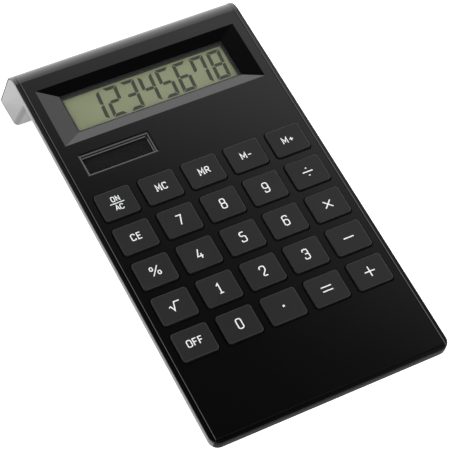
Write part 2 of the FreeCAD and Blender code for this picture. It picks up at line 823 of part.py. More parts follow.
def make_key(label, column, row):
    """Key cap with a stop flange, hollow underneath, and a post that works its dome."""
    body = new_body(label)
    half_wide = "Sizes.key_wide / 2"
    half_long = "Sizes.key_long / 2"
    cap = pad_box(
        body, label + "_cap", "-" + half_wide, half_wide, "-" + half_long, half_long,
        "-Sizes.flange_top", "Sizes.flange_top + Sizes.key_rise", "Sizes.key_corner",
    )
    rim = edges_where(cap, lambda e: abs(e.BoundBox.ZMin - size("key_rise")) < 1e-3)
    fillet(body, label + "_edge", cap, rim, "Sizes.key_edge")
    pad_box(
        body, label + "_flange", "-Sizes.flange_wide / 2", "Sizes.flange_wide / 2",
        "-Sizes.flange_long / 2", "Sizes.flange_long / 2", "-Sizes.flange_top - Sizes.flange_thick",
        "Sizes.flange_thick", "Sizes.key_corner + 0.9",
    )
    cut_box(
        body, label + "_hollow", "-Sizes.key_hollow_wide / 2", "Sizes.key_hollow_wide / 2",
        "-Sizes.key_hollow_long / 2", "Sizes.key_hollow_long / 2", "-Sizes.flange_top - Sizes.flange_thick",
        "Sizes.flange_top + Sizes.flange_thick + Sizes.key_rise - Sizes.key_skin", "0.6",
    )
    post = new_sketch(body, label + "_post_plan", "XY_Plane", "-Sizes.key_post_end")
    draw_circle(post, 0.0, 0.0, "Sizes.key_post")
    pad(body, label + "_post", post, "Sizes.key_post_end + Sizes.key_rise - Sizes.key_skin + 0.1")
    keep(body, label, shift(column * size("key_pitch_x"), row * size("key_pitch_y"), 0.0))


# ---------------------------------------------------------------- rubber domes


def make_rubber_mat():
    body = new_body("rubber_mat")
    pad_box(
        body, "mat_sheet", "-2 * Sizes.key_pitch_x - 8.8", "2 * Sizes.key_pitch_x + 8.8",
        "-2 * Sizes.key_pitch_y - 8", "2 * Sizes.key_pitch_y + 8", "-Sizes.board_top",
        "Sizes.board_top - Sizes.mat_sheet_top", "1.5",
    )
    x = -2 * size("key_pitch_x")
    y = -2 * size("key_pitch_y")
    bore = new_sketch(body, "dome_bore_plan", "XY_Plane", "-Sizes.board_top")
    draw_circle(bore, x, y, "Sizes.dome_foot - 2 * Sizes.dome_skin")
    dome_bore = pocket(body, "dome_bore", bore, "1.0", reverse=True)

    # dome wall and its thick cap, turned round the key centre
    profile = new_sketch(body, "dome_profile", "XZ_Plane", "2 * Sizes.key_pitch_y", x=x)
    foot = size("dome_foot") / 2
    head = size("dome_head") / 2
    skin = size("dome_skin")
    low = -size("mat_sheet_top") - 0.1
    top = -size("dome_top")
    draw_outline(
        profile,
        [
            (0.0, top), (head, top), (foot, low), (foot - skin, low),
            (head - skin, top - size("dome_cap")), (0.0, top - size("dome_cap")),
        ],
    )
    dome = body.newObject("PartDesign::Revolution", "dome")
    dome.Profile = profile
    dome.ReferenceAxis = (profile, ["V_Axis"])
    dome.Angle = 360
    doc.recompute()
    repeat_on_keys(body, "domes", [dome_bore, dome])
    keep(body, "rubber_mat")


# --------------------------------------------------------------- circuit board


def make_main_board():
    body = new_body("main_board")
    pad_box(
        body, "board", "-Sizes.board_wide / 2", "Sizes.board_wide / 2", "-Sizes.board_front",
        "Sizes.board_rear", "-Sizes.board_top - Sizes.board_thick", "Sizes.board_thick", "1.0",
    )
    holes = new_sketch(body, "board_hole_plan", "XY_Plane", "-Sizes.board_top - Sizes.board_thick")
    for x, y in BOARD_SCREWS:
        draw_circle(holes, x, y, "Sizes.screw_shank + 0.5")
    for x, y in CASE_SCREWS[2:4]:
        draw_circle(holes, x, y, "Sizes.case_boss + 1.4")
    pocket(body, "board_holes", holes, "Sizes.board_thick", reverse=True)
    keep(body, "main_board")


def primitive(kind, label, local, **sizes):
    """Part primitive whose dimensions are sheet expressions."""
    piece = doc.addObject(kind, label)
    for prop, expression in sizes.items():
        piece.setExpression(prop, expression)
    piece.Placement = local
    return piece


def make_box(label, left, right, low, high, bottom, top):
    local = shift(value_of(left), value_of(low), value_of(bottom))
    piece = primitive(
        "Part::Box", label, shift(),
        Length=f"({right}) - ({left})", Width=f"({high}) - ({low})", Height=f"({top}) - ({bottom})",
    )
    return piece, local


def fuse_group(label, members):
    """Several like solids handed in together as one node."""
    group = doc.addObject("Part::Compound", label)
    group.Links = members
    doc.recompute()
    return keep(group, label)


def make_board_parts():
    pads = []
    for row in COLUMNS:
        for column in COLUMNS:
            place = shift(column * size("key_pitch_x"), row * size("key_pitch_y"), -size("board_top"))
            pads.append(
                primitive(
                    "Part::Cylinder", f"pad_{len(pads) + 1}", place,
                    Radius="Sizes.pad_wide / 2", Height="Sizes.pad_thick",
                )
            )
    fuse_group("contact_pads", pads)

    blob = new_body("chip_blob")
    profile = new_sketch(blob, "blob_profile", "XZ_Plane")
    floor = -size("board_top")
    rise = 1.0
    reach = 5.0
    drop = (reach * reach - rise * rise) / (2 * rise)
    dome = ("arc", (0.0, floor - drop), (reach, floor))
    draw_outline(profile, [(0.0, floor + rise), dome, (0.0, floor)])
    turned = blob.newObject("PartDesign::Revolution", "blob")
    turned.Profile = profile
    turned.ReferenceAxis = (profile, ["V_Axis"])
    turned.Angle = 360
    doc.recompute()
    keep(blob, "chip_blob", shift(31.6, 53.0, 0.0))

    spots = ((12.0, 50.5), (12.0, 54.0), (38.5, 57.5))
    make_chips("capacitor", spots, "3.2 mm", "1.6 mm", "1.2 mm")
    spots = ((6.0, 50.0), (6.0, 52.5), (6.0, 55.0), (38.5, 47.6))
    make_chips("resistor", spots, "2 mm", "1.25 mm", "0.5 mm")
    led = primitive("Part::Cylinder", "led_round", shift(), Radius="1.5 mm", Height="1.8 mm")
    keep(led, "limiter_led", shift(0.5, 54.0, -size("board_top")))


def make_chips(name, spots, length, width, height):
    """Small oblong components that stand on the circuit board."""
    members = []
    for index, (x, y) in enumerate(spots):
        place = shift(x, y, -size("board_top"))
        label = f"{name}_{index + 1}"
        members.append(
            primitive("Part::Box", label, place, Length=length, Width=width, Height=height)
        )
    fuse_group(name + "s", members)


# --------------------------------------------------------------------- display


def make_display():
    pane, local = make_box(
        "pane", "-Sizes.pane_wide / 2", "Sizes.pane_wide / 2", "Sizes.pane_middle - Sizes.pane_long / 2",
        "Sizes.pane_middle + Sizes.pane_long / 2", "-Sizes.bezel_backing",
        "-Sizes.bezel_backing + Sizes.pane_thick",
    )
    keep(pane, "display_window", local)

    frame = new_body("display_frame")
    pad_box(
        frame, "frame", "-Sizes.pane_wide / 2 - 1.5", "Sizes.pane_wide / 2 + 1.5",
        "Sizes.lcd_front - 1.2", "Sizes.lcd_rear + 1.2", "-Sizes.lcd_face_depth",
        "Sizes.lcd_face_depth - Sizes.bezel_backing - 0.02",
    )
    cut_box(
        frame, "frame_window", "-Sizes.lcd_view_wide / 2", "Sizes.lcd_view_wide / 2",
        "Sizes.lcd_view_front", "Sizes.lcd_view_front + Sizes.lcd_view_long", "-Sizes.lcd_face_depth",
        "Sizes.lcd_face_depth",
    )
    keep(frame, "display_frame")

    lcd = new_body("lcd_panel")
    pad_box(
        lcd, "rear_glass", "-Sizes.lcd_wide / 2", "Sizes.lcd_wide / 2", "Sizes.lcd_front", "Sizes.lcd_rear",
        "-Sizes.lcd_face_depth - 2 * Sizes.lcd_glass", "Sizes.lcd_glass",
    )
    pad_box(
        lcd, "front_glass", "-Sizes.lcd_wide / 2", "Sizes.lcd_wide / 2",
        "Sizes.lcd_front + Sizes.lcd_ledge", "Sizes.lcd_rear",
        "-Sizes.lcd_face_depth - Sizes.lcd_glass", "Sizes.lcd_glass",
    )
    keep(lcd, "lcd_panel")

    ribbon, local = make_box(
        "ribbon", "-26", "26", "Sizes.board_rear - 4", "Sizes.lcd_front + Sizes.lcd_ledge - 0.2",
        "-Sizes.board_top", "-Sizes.board_top + 0.1",
    )
    keep(ribbon, "lcd_ribbon", local)

    strips = []
    for index, y in enumerate((68.5, 82.5)):
        strip, place = make_box(
            f"foam_{index + 1}", "-33", "33", str(y), str(y + 2.5),
            "-Sizes.floor_depth", "-Sizes.lcd_face_depth - 2 * Sizes.lcd_glass",
        )
        strip.Placement = place
        strips.append(strip)
    fuse_group("foam_strips", strips)


# ------------------------------------------------------------------ solar cell


def make_solar():
    sides = solar_sides("0.5")
    top = "-Sizes.solar_deep - Sizes.solar_pane"
    pane, local = make_box("solar_pane", *sides, top, "-Sizes.solar_deep")
    keep(pane, "solar_window", local)
    cell, local = make_box("solar_glass", *sides, f"{top} - Sizes.solar_cell_thick", top)
    keep(cell, "solar_cell", local)

    leads = []
    back = -size("solar_deep") - size("solar_pane") - size("solar_cell_thick")
    for index, x in enumerate((-36.0, -18.0)):
        body = new_body(f"solar_lead_{index + 1}")
        route = new_sketch(body, f"lead_route_{index + 1}", "YZ_Plane")
        route.AttachmentOffset = shift(0.0, 0.0, x)
        doc.recompute()
        radius = 0.175
        draw_route(route, back - radius, -size("board_top") + radius)
        section = new_sketch(body, f"lead_section_{index + 1}", "XZ_Plane")
        section.AttachmentOffset = shift(x, 0.0, -51.5)
        doc.recompute()
        draw_circle(section, 0.0, back - radius, "0.35 mm / 1 mm")
        pipe = body.newObject("PartDesign::AdditivePipe", f"lead_{index + 1}")
        pipe.Profile = section
        pipe.Spine = route
        doc.recompute()
        leads.append(body)
    fuse_group("solar_leads", leads)


def draw_route(sketch, high, low):
    """Lead that leaves the back of the cell flat, bends down and lies flat on the board."""
    drop = high - low
    bend = 3.0
    run = math.sqrt(bend * bend - (bend - drop / 2) ** 2)
    middle = 46.6
    turn = math.asin(run / bend)
    sketch.addGeometry(Part.LineSegment(Vector(51.5, high, 0), Vector(middle + run, high, 0)), False)
    upper = Part.Circle(Vector(middle + run, high - bend, 0), Vector(0, 0, 1), bend)
    sketch.addGeometry(Part.ArcOfCircle(upper, math.pi / 2, math.pi / 2 + turn), False)
    lower = Part.Circle(Vector(middle - run, low + bend, 0), Vector(0, 0, 1), bend)
    sketch.addGeometry(Part.ArcOfCircle(lower, -math.pi / 2, -math.pi / 2 + turn), False)
    sketch.addGeometry(Part.LineSegment(Vector(middle - run, low, 0), Vector(43.4, low, 0)), False)
    for join in ((0, 2, 1, 1), (1, 2, 2, 2), (2, 1, 3, 1)):
        sketch.addConstraint(Sketcher.Constraint("Coincident", *join))
    for index in range(4):
        sketch.addConstraint(Sketcher.Constraint("Block", index))
    doc.recompute()


# --------------------------------------------------------------------- battery


def make_battery():
    x = size("cell_x")
    y = size("cell_y")
    body = new_body("button_cell")
    low = -size("cell_top") - size("cell_thick")
    can = new_sketch(body, "can_plan", "XY_Plane", "-Sizes.cell_top - Sizes.cell_thick + 0.5")
    draw_circle(can, 0.0, 0.0, "Sizes.cell_across")
    can_pad = pad(body, "can", can, "Sizes.cell_thick - 0.5")
    top = edges_where(can_pad, lambda e: abs(e.BoundBox.ZMin + size("cell_top")) < 1e-3)
    fillet(body, "can_edge", can_pad, top, "0.3 mm / 1 mm")
    cap = new_sketch(body, "cap_plan", "XY_Plane", "-Sizes.cell_top - Sizes.cell_thick")
    draw_circle(cap, 0.0, 0.0, "Sizes.cell_across - 2")
    pad(body, "cap", cap, "0.6")
    keep(body, "button_cell", shift(x, y, 0.0))

    upper = -size("cell_top")
    board = -size("board_top")
    strap = new_body("battery_contact_top")
    bent = new_sketch(strap, "strap_profile", "YZ_Plane", "Sizes.cell_x - 2.5")
    draw_outline(
        bent,
        [
            (y - 2.0, upper + 0.2), (y + 7.4, upper + 0.2), (y + 7.4, board + 0.2), (y + 11.4, board + 0.2),
            (y + 11.4, board), (y + 7.2, board), (y + 7.2, upper), (y - 2.0, upper),
        ],
    )
    pad(strap, "strap", bent, "5.0")
    keep(strap, "battery_contact_top")

    under = board - size("board_thick")
    tongue = new_body("battery_contact_bottom")
    folded = new_sketch(tongue, "tongue_profile", "YZ_Plane", "Sizes.cell_x - 2.5")
    draw_outline(
        folded,
        [
            (y - 2.0, low), (y + 8.0, low), (y + 8.0, under), (y + 11.6, under),
            (y + 11.6, under - 0.15), (y + 8.15, under - 0.15), (y + 8.15, low - 0.15),
            (y - 2.0, low - 0.15),
        ],
    )
    pad(tongue, "tongue", folded, "5.0")
    keep(tongue, "battery_contact_bottom")


# ---------------------------------------------------------------------- screws


def make_screw(label, head_across, head_thick, head_level, tip_level):
    """Cross-recessed pan-head screw, head down, standing on the Z axis."""
    body = new_body(label)
    head = new_sketch(body, label + "_head_plan", "XY_Plane", f"{head_level}")
    draw_circle(head, 0.0, 0.0, head_across)
    head_pad = pad(body, label + "_head", head, f"{head_thick}")
    low = edges_where(head_pad, lambda e: abs(e.BoundBox.ZMax - head_level) < 1e-3)
    fillet(body, label + "_head_edge", head_pad, low, f"{head_thick * 0.45}")
    shank = new_sketch(body, label + "_shank_plan", "XY_Plane", f"{head_level + head_thick - 0.05}")
    draw_circle(shank, 0.0, 0.0, "Sizes.screw_shank")
    pad(body, label + "_shank", shank, f"{tip_level - head_level - head_thick + 0.05}")
    cross = new_sketch(body, label + "_cross_plan", "XY_Plane", f"{head_level}")
    draw_cross(cross, 0.95, 0.22)
    pocket(body, label + "_cross", cross, f"{head_thick * 0.6}", reverse=True)
    return body


def draw_cross(sketch, reach, half):
    draw_outline(
        sketch,
        [
            (-half, reach), (half, reach), (half, half), (reach, half), (reach, -half), (half, -half),
            (half, -reach), (-half, -reach), (-half, -half), (-reach, -half), (-reach, half), (-half, half),
        ],
    )


def make_screws():
    seat = -size("base_depth") + 1.5
    board = -size("board_top") - size("board_thick")
    for label, spots, across, thick, under in (
        ("case_screws", CASE_SCREWS, "Sizes.case_head", 0.9, seat),
        ("board_screws", BOARD_SCREWS, "Sizes.board_head", 0.45, board),
    ):
        pattern = make_screw(label + "_first", across, thick, under - thick, -0.9)
        copies = []
        for index, (x, y) in enumerate(spots):
            copy = doc.addObject("App::Link", f"{label}_{index + 1}")
            copy.LinkedObject = pattern
            copy.Placement = shift(x, y, 0.0)
            copies.append(copy)
        fuse_group(label, copies)


# ------------------------------------------------------------------------ feet


def ground_depth(y):
    """Level of the table, seen from the plate, under a point of the side profile."""
    return sole(y)[1] - size("sole_proud") / math.cos(math.radians(size("tilt_angle")))


def make_feet():
    feet = []
    top = -size("base_depth") + size("foot_seat")
    y = size("front_foot_y")
    lean_back = Rotation(Vector(1, 0, 0), -size("tilt_angle"))
    level = Placement(Vector(0.0, y, ground_depth(y)), lean_back)
    for index, x in enumerate((-size("front_foot_x"), size("front_foot_x"))):
        round_pad = primitive(
            "Part::Cylinder", f"front_foot_round_{index + 1}", shift(x, y, -12.0),
            Radius="Sizes.foot_across / 2", Height=f"{12.0 + top}",
        )
        table = primitive(
            "Part::Box", f"front_foot_table_{index + 1}",
            level.multiply(shift(x - 8.0, -8.0, -8.0)),
            Length="16 mm", Width="16 mm", Height="8 mm",
        )
        foot = doc.addObject("Part::Cut", f"front_foot_{index + 1}")
        foot.Base = round_pad
        foot.Tool = table
        feet.append(foot)
    fuse_group("front_feet", feet)

    strips = []
    for index, x in enumerate((-size("sole_strip_x"), size("sole_strip_x"))):
        y0, z0 = sole(size("leg_sole_y") + 0.7)
        under = Placement(Vector(x, y0, z0), lean_back)
        corner = shift(-size("sole_strip_long") / 2, -size("sole_strip_wide") / 2, -size("sole_proud"))
        strip = primitive(
            "Part::Box", f"rear_foot_{index + 1}", under.multiply(corner),
            Length="Sizes.sole_strip_long", Width="Sizes.sole_strip_wide", Height="Sizes.sole_proud",
        )
        strips.append(strip)
    fuse_group("rear_feet", strips)


# -------------------------------------------------------------------- assembly

make_top_cover()
make_bottom_cover()
for row, labels in KEY_ROWS.items():
    for column, label in zip(COLUMNS, labels):
        make_key(label, column, row)
make_rubber_mat()
make_main_board()
make_board_parts()
make_display()
make_solar()
make_battery()
make_screws()
make_feet()
doc.recompute()

# lean the case back on its leg and set the middle of its footprint on the origin
lean = Placement(Vector(), Rotation(Vector(1, 0, 0), size("tilt_angle")))
outline = FreeCAD.BoundBox()
for piece, local in pieces:
    piece.Placement = lean.multiply(local)
doc.recompute()
for piece, local in pieces:
    outline.add(piece.Shape.optimalBoundingBox())
stand = Placement(Vector(-outline.Center.x, -outline.Center.y, -outline.ZMin), Rotation())
for piece, local in pieces:
    piece.Placement = stand.multiply(lean).multiply(local)
doc.recompute()

for item in doc.Objects:
    assert not {"Invalid", "Error"} & set(item.State), item.Name + " is in error"
os.makedirs("parts", exist_ok=True)
for piece, local in pieces:
    assert not piece.Shape.isNull() and piece.Shape.isValid(), piece.Label + " has no sound shape"
    piece.Shape.exportStep(f"parts/{piece.Label}.step")
print(len(pieces), "sub-parts")
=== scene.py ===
import json
import math

import bmesh
import bpy
from mathutils import Matrix, Vector


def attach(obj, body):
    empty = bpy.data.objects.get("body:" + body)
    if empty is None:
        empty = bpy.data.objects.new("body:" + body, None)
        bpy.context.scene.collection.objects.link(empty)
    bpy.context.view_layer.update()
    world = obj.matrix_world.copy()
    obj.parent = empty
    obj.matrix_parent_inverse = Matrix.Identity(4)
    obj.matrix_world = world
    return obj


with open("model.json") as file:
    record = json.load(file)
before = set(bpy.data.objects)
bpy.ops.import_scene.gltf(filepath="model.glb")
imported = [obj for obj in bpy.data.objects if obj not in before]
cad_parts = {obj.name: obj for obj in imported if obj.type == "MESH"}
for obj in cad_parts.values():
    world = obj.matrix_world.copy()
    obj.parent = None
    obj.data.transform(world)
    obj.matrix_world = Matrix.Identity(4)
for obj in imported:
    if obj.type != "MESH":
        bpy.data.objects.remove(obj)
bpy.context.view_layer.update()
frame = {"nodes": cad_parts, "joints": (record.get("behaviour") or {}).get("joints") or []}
nodes = frame["nodes"]

MM = 0.001
# In millimetres of the plate frame:
KEY_RISE = 1.1                  # key tops above the face plate
PITCH_X, PITCH_Y = 18.0, 16.0   # spacing of the keys
INK_THICK = 0.02                # printed legends and display segments
LEGEND_SINK = 0.004             # legends start this far under the key tops
CROSSING_STEP = 0.0015          # later strokes stand this much prouder where strokes cross
SHADED_FRONT_REACH = 3.0          # how far back the front wall's painted shade goes

SHARP_ANGLE = math.radians(28)


# ---------------------------------------------------------------- plate frame

def plate_frame():
    """Matrix from plate millimetres (X right, Y rear, Z out of the plate) to the row frame."""
    press = next(j for j in frame["joints"] if j["child"] == "key_5")["axis"]
    out = -Vector(press).normalized()
    right = Vector((1, 0, 0))
    rear = out.cross(right)
    points = [v.co for v in nodes["key_5"].data.vertices]
    top = max(p.dot(out) for p in points)
    rears = [p.dot(rear) for p in points]
    middle = rear * ((max(rears) + min(rears)) / 2) + out * (top - KEY_RISE * MM)
    turn = Matrix((right, rear, out)).transposed()
    return Matrix.Translation(middle) @ turn.to_4x4() @ Matrix.Scale(MM, 4)


PLATE = plate_frame()


# ------------------------------------------------------------------ materials

class Shader:
    """A node material put together a step at a time around one Principled shader."""

    def __init__(self, name):
        self.mat = bpy.data.materials.new(name)
        self.mat.use_nodes = True
        self.tree = self.mat.node_tree
        self.main = self.tree.nodes["Principled BSDF"]
        self.where = self.add("ShaderNodeTexCoord").outputs["Object"]

    def add(self, kind, **values):
        node = self.tree.nodes.new(kind)
        for key, value in values.items():
            setattr(node, key, value)
        return node

    def link(self, out, into):
        self.tree.links.new(out, into)

    def noise(self, scale, detail, stretch=(1, 1, 1)):
        mapping = self.add("ShaderNodeMapping")
        mapping.inputs["Scale"].default_value = stretch
        self.link(self.where, mapping.inputs["Vector"])
        node = self.add("ShaderNodeTexNoise")
        node.inputs["Scale"].default_value = scale
        node.inputs["Detail"].default_value = detail
        node.inputs["Roughness"].default_value = 0.55
        self.link(mapping.outputs["Vector"], node.inputs["Vector"])
        return node.outputs["Fac"]

    def ramp(self, fac, stops):
        node = self.add("ShaderNodeValToRGB")
        ends = node.color_ramp.elements
        while len(ends) < len(stops):
            ends.new(0.5)
        for end, (place, colour) in zip(ends, stops):
            end.position = place
            end.color = (*colour, 1.0)
        self.link(fac, node.inputs["Fac"])
        return node.outputs["Color"]

    def span(self, fac, low, high):
        node = self.add("ShaderNodeMapRange")
        node.inputs["To Min"].default_value = low
        node.inputs["To Max"].default_value = high
        self.link(fac, node.inputs["Value"])
        return node.outputs["Result"]

    def mix(self, fac, a, b):
        node = self.add("ShaderNodeMix", data_type="RGBA")
        self.link(fac, node.inputs["Factor"])
        for value, socket in ((a, node.inputs["A"]), (b, node.inputs["B"])):
            if isinstance(value, tuple):
                socket.default_value = (*value, 1.0)
            else:
                self.link(value, socket)
        return node.outputs["Result"]

    def bump(self, height, strength, distance):
        node = self.add("ShaderNodeBump")
        node.inputs["Strength"].default_value = strength
        node.inputs["Distance"].default_value = distance
        self.link(height, node.inputs["Height"])
        self.link(node.outputs["Normal"], self.main.inputs["Normal"])

    def put(self, **sockets):
        for key, value in sockets.items():
            socket = self.main.inputs[key.replace("_", " ")]
            if isinstance(value, (int, float)):
                socket.default_value = value
            elif isinstance(value, tuple):
                socket.default_value = (*value, 1.0)
            else:
                self.link(value, socket)
        return self


def tinted(colour, amount):
    """A colour made darker or lighter by a factor."""
    return tuple(max(0.0, c * amount) for c in colour)


def moulded(name, colour, gloss, grain, depth, worn=1.6, spread=0.12, specular=0.5):
    """Moulded plastic or rubber: mottled tone, uneven sheen, fine grain and rubbed edges."""
    s = Shader(name)
    broad = s.noise(38.0, 3.0)
    fine = s.noise(grain, 2.0)
    tone = s.ramp(broad, ((0.3, tinted(colour, 0.9)), (0.7, tinted(colour, 1.1))))
    edge = s.add("ShaderNodeNewGeometry").outputs["Pointiness"]
    rubbed = s.ramp(edge, ((0.52, (0, 0, 0)), (0.60, (1, 1, 1))))
    s.put(Base_Color=s.mix(rubbed, tone, tinted(colour, worn)))
    s.put(Roughness=s.span(broad, gloss * (1 - spread), gloss * (1 + spread)))
    s.main.inputs["Specular IOR Level"].default_value = specular
    s.bump(fine, 0.25, depth)
    return s


def metal(name, colour, gloss, brush=(1, 1, 1)):
    """Bare metal with fine streaks, drawn out along the axis that brush stretches."""
    s = Shader(name)
    streaks = s.noise(900.0, 3.0, brush)
    s.put(Base_Color=s.ramp(streaks, ((0.3, tinted(colour, 0.85)), (0.7, tinted(colour, 1.08)))))
    s.put(Roughness=s.span(streaks, gloss * 0.75, gloss * 1.3), Metallic=1.0)
    s.bump(streaks, 0.15, 0.00002)
    return s


def clear_pane(name, alpha):
    """Clear plastic with a faint haze."""
    s = Shader(name)
    haze = s.noise(60.0, 2.0)
    s.put(Base_Color=s.ramp(haze, ((0.2, (0.016, 0.018, 0.017)), (0.8, (0.024, 0.026, 0.025)))))
    s.put(Roughness=s.span(haze, 0.03, 0.07), Alpha=alpha, IOR=1.49)
    return s


black = moulded("black_case", (0.0009, 0.0009, 0.0011), 0.095, 2600.0, 0.000002, worn=1.5)
base = moulded("black_base", (0.0010, 0.0010, 0.0012), 0.12, 2600.0, 0.000002, worn=1.5)
# Painted shade: a duller copy of the case plastic, sheen turned down, so the front wall stays dark.
shaded_front_wall = moulded(
    "black_front_painted_shade", (0.0016, 0.0016, 0.0018), 0.35, 2600.0, 0.000002, worn=1.5, specular=0.03
)
cap = moulded("key_cap", (0.0066, 0.0067, 0.0070), 0.40, 4200.0, 0.00001, worn=2.0, specular=0.22)
ink = moulded("white_ink", (0.58, 0.585, 0.59), 0.55, 5200.0, 0.000003, worn=1.0)
segment_ink = moulded("display_segment", (0.024, 0.029, 0.016), 0.4, 900.0, 0.000001, worn=1.0)
rubber = moulded("grey_silicone", (0.42, 0.43, 0.44), 0.62, 1500.0, 0.00002, worn=1.1)
foot_rubber = moulded("foot_rubber", (0.014, 0.014, 0.014), 0.72, 1800.0, 0.00005, worn=1.5)
foam = moulded("foam", (0.03, 0.03, 0.03), 0.9, 900.0, 0.0002, worn=1.0)
frame_black = moulded("frame_black", (0.010, 0.010, 0.010), 0.5, 1500.0, 0.00001)
epoxy = moulded("chip_epoxy", (0.012, 0.012, 0.012), 0.18, 500.0, 0.00003)
ceramic = moulded("tan_ceramic", (0.42, 0.30, 0.17), 0.5, 1500.0, 0.00001)
dark_ceramic = moulded("dark_ceramic", (0.03, 0.03, 0.035), 0.35, 1500.0, 0.00001)
carbon = moulded("carbon_pad", (0.02, 0.02, 0.02), 0.6, 3000.0, 0.00001)
ribbon = moulded("ribbon_film", (0.46, 0.24, 0.07), 0.35, 700.0, 0.00001)
nickel = metal("nickel", (0.72, 0.70, 0.64), 0.22)
spring_steel = metal("spring_strip", (0.66, 0.64, 0.60), 0.28, (1, 12, 1))
zinc = metal("zinc_screw", (0.56, 0.57, 0.60), 0.34)
copper = metal("tinned_copper", (0.72, 0.55, 0.42), 0.3)
pane = clear_pane("clear_acrylic", 0.10)
clear_resin = clear_pane("clear_resin", 0.55)


def board_material():
    """Tan paper laminate with its fibres running one way."""
    s = Shader("board_laminate")
    fibre = s.noise(420.0, 5.0, (1, 6, 1))
    broad = s.noise(30.0, 2.0)
    tone = s.ramp(fibre, ((0.3, (0.30, 0.19, 0.07)), (0.7, (0.42, 0.28, 0.12))))
    s.put(Base_Color=s.mix(broad, tone, (0.36, 0.24, 0.09)))
    s.put(Roughness=s.span(fibre, 0.4, 0.6))
    s.bump(fibre, 0.2, 0.00002)
    return s


def display_material():
    """Grey-green reflector of the display, a little lighter and darker in soft clouds."""
    s = Shader("display_green")
    cloud = s.noise(22.0, 2.0)
    fine = s.noise(3500.0, 2.0)
    s.put(Base_Color=s.ramp(cloud, ((0.25, (0.205, 0.228, 0.124)), (0.75, (0.232, 0.256, 0.148)))))
    s.put(Roughness=s.span(fine, 0.45, 0.6))
    s.bump(fine, 0.1, 0.000005)
    return s


def solar_material():
    """Near-black silicon with a faint warm tint."""
    s = Shader("solar_silicon")
    cloud = s.noise(120.0, 3.0)
    s.put(Base_Color=s.ramp(cloud, ((0.3, (0.0020, 0.0013, 0.0016)), (0.7, (0.0036, 0.0024, 0.0028)))))
    s.put(Roughness=s.span(cloud, 0.16, 0.22))
    s.main.inputs["Specular IOR Level"].default_value = 0.2
    s.bump(cloud, 0.02, 0.000002)
    return s


board = board_material()
display = display_material()
solar = solar_material()

FINISHES = {
    "top_cover": black, "bottom_cover": base, "rubber_mat": rubber, "main_board": board,
    "contact_pads": carbon, "chip_blob": epoxy, "capacitors": ceramic, "resistors": dark_ceramic,
    "limiter_led": clear_resin, "display_window": pane, "display_frame": frame_black,
    "lcd_panel": display, "lcd_ribbon": ribbon, "foam_strips": foam, "solar_window": pane,
    "solar_cell": solar, "solar_leads": copper, "button_cell": nickel,
    "battery_contact_top": spring_steel, "battery_contact_bottom": spring_steel,
    "case_screws": zinc, "board_screws": zinc, "front_feet": foot_rubber, "rear_feet": foot_rubber,
}
for name, node in nodes.items():
    finish = FINISHES.get(name, cap)
    node.data.materials.clear()
    node.data.materials.append(finish.mat)
    for face in node.data.polygons:
        face.material_index = 0
        face.use_smooth = True
    node.data.set_sharp_from_angle(angle=SHARP_ANGLE)

# The front wall gets painted shade: a duller copy of the case plastic with its sheen turned down,
# standing in for the shadowed floor the wall mirrors. It was set so that the wall stays as dark in
# this studio as it looks in the photograph; the real wall is probably the same plastic as the rest.
for name in ("top_cover", "bottom_cover"):
    mesh = nodes[name].data
    mesh.materials.append(shaded_front_wall.mat)
    front = min(v.co.y for v in mesh.vertices)
    for face in mesh.polygons:
        if face.normal.y < -0.6 and face.center.y < front + SHADED_FRONT_REACH * MM:
            face.material_index = 1


# -------------------------------------------------------------- printed pieces

def new_piece(name, mesh, finish, body):
    """Object that rides on a body of the frame, in a named material slot."""
    piece = bpy.data.objects.new(name, mesh)
    bpy.context.scene.collection.objects.link(piece)
    piece.data.materials.append(finish.mat)
    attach(piece, body)


def round_corners(points, radius, closed, steps=6):
    """Centre line with its corners turned into short arcs."""
    count = len(points)
    line = []
    for i, p in enumerate(points):
        if not closed and i in (0, count - 1):
            line.append(Vector(p))
            continue
        here = Vector(p)
        back = Vector(points[i - 1]) - here
        ahead = Vector(points[(i + 1) % count]) - here
        half = back.angle(ahead) / 2
        if radius <= 0 or abs(half - math.pi / 2) < 0.02:
            line.append(here)
            continue
        reach = min(radius / math.tan(half), back.length * 0.499, ahead.length * 0.499)
        r = reach * math.tan(half)
        back.normalize()
        ahead.normalize()
        centre = here + (back + ahead).normalized() * (r / math.sin(half))
        a = here + back * reach - centre
        b = here + ahead * reach - centre
        sweep = a.angle_signed(b)
        for k in range(steps + 1):
            turn = Matrix.Rotation(-sweep * k / steps, 2)
            line.append(centre + turn @ a)
    return line


def add_ribbon(bm, line, half, closed, low, high):
    """Solid strip of constant width that follows a flat centre line."""
    count = len(line)
    rails = []
    for i, p in enumerate(line):
        before = line[i - 1] if (i or closed) else None
        after = line[(i + 1) % count] if (i < count - 1 or closed) else None
        d1 = (p - before).normalized() if before is not None else None
        d2 = (after - p).normalized() if after is not None else None
        way = d1 if d2 is None else d2 if d1 is None else (d1 + d2).normalized()
        side = Vector((-way.y, way.x))
        stretch = 1.0
        if d1 is not None and d2 is not None:
            stretch = 1.0 / max(0.35, side.dot(Vector((-d1.y, d1.x))))
        off = side * half * stretch
        corners = ((p + off, low), (p + off, high), (p - off, high), (p - off, low))
        rails.append([bm.verts.new((q.x, q.y, z)) for q, z in corners])
    spans = range(count if closed else count - 1)
    for i in spans:
        a, b = rails[i], rails[(i + 1) % count]
        for k in range(4):
            m = (k + 1) % 4
            bm.faces.new((a[k], a[m], b[m], b[k]))
    if not closed:
        bm.faces.new(rails[0][::-1])
        bm.faces.new(rails[-1])


def ink_mesh(name, strokes, half, level):
    """Mesh of several strokes in plate millimetres, lying on a level of the plate frame."""
    bm = bmesh.new()
    for order, (points, radius, closed) in enumerate(strokes):
        line = round_corners(points, radius, closed)
        add_ribbon(bm, line, half, closed, level, level + INK_THICK + CROSSING_STEP * order)
    bmesh.ops.recalc_face_normals(bm, faces=bm.faces)
    bm.transform(PLATE)
    mesh = bpy.data.meshes.new(name)
    bm.to_mesh(mesh)
    bm.free()
    return mesh


